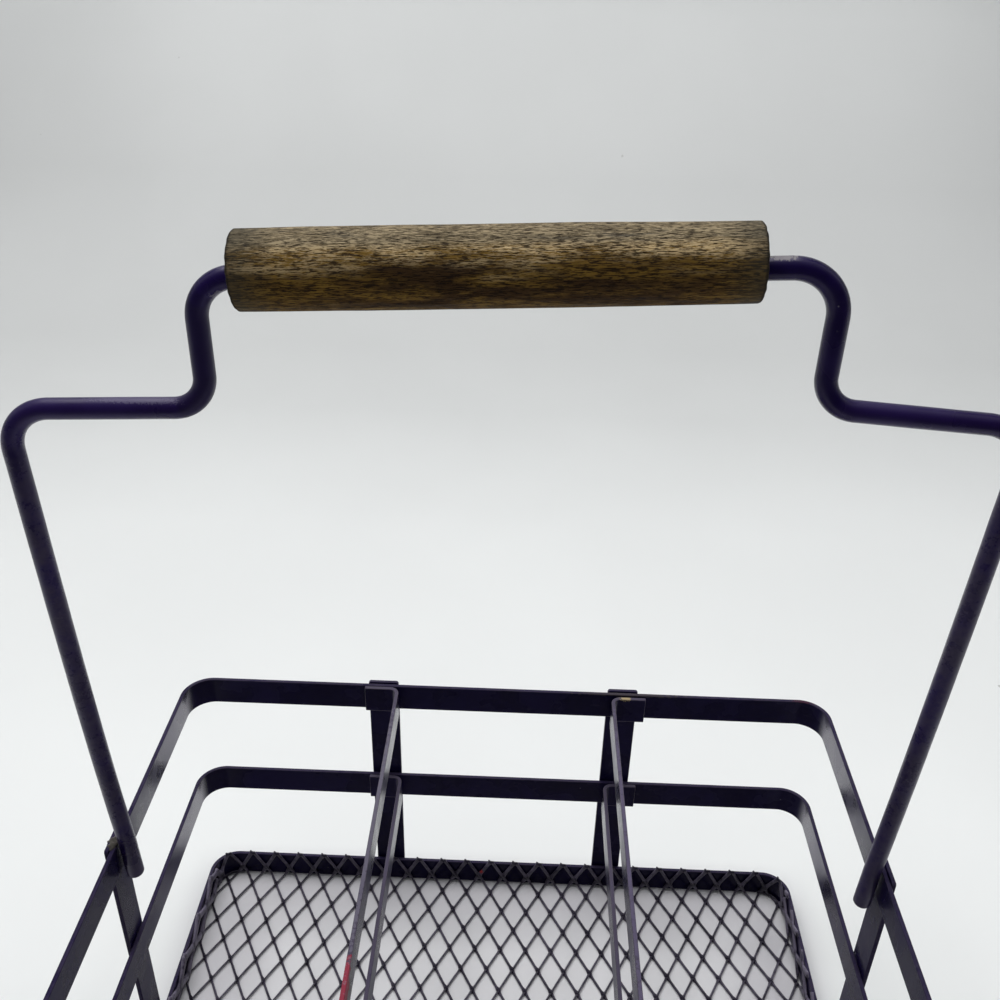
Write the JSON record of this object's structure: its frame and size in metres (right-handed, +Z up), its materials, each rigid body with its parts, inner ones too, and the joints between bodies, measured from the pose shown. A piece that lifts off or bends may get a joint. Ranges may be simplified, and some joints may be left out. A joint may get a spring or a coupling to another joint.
{
  "type": "utensil caddy",
  "caption": "Open tabletop caddy of flat steel straps with an expanded-metal tray, divided into compartments, and a fixed stepped wire handle with a turning wooden grip.",
  "frame": {"origin": "on the table, in the middle of the rings' length and depth", "axes": "+Z up, +X along the caddy's length and its handle, towards the higher end of the grip, +Y to the back"},
  "size_m": [0.2772, 0.1776, 0.3352],
  "materials": {
    "strap_paint": "gloss, very dark violet",
    "mesh_paint": "gloss, very dark violet",
    "wire_paint": "gloss, very dark violet, worn at the bends",
    "stained_wood": "dark stain, weathered, matte"
  },
  "bodies": {
    "frame": {"top_ring": "strap_paint", "middle_ring": "strap_paint", "base_ring": "strap_paint", "back_upright_left": "strap_paint", "back_upright_right": "strap_paint", "front_upright_left": "strap_paint", "front_upright_right": "strap_paint", "side_upright_left": "strap_paint", "side_upright_right": "strap_paint", "top_divider_left": "strap_paint", "top_divider_right": "strap_paint", "middle_divider_left": "strap_paint", "middle_divider_right": "strap_paint", "mesh_tray": "mesh_paint", "handle_wire": "wire_paint"},
    "grip": {"wood_grip": "stained_wood"}
  },
  "joints": [
    {"name": "grip_spin", "type": "hinge", "parent": "frame", "child": "grip", "pos_m": [-0.0047, 0, 0.32095], "axis": [0.9989, 0, 0.0471], "continuous": true}
  ]
}
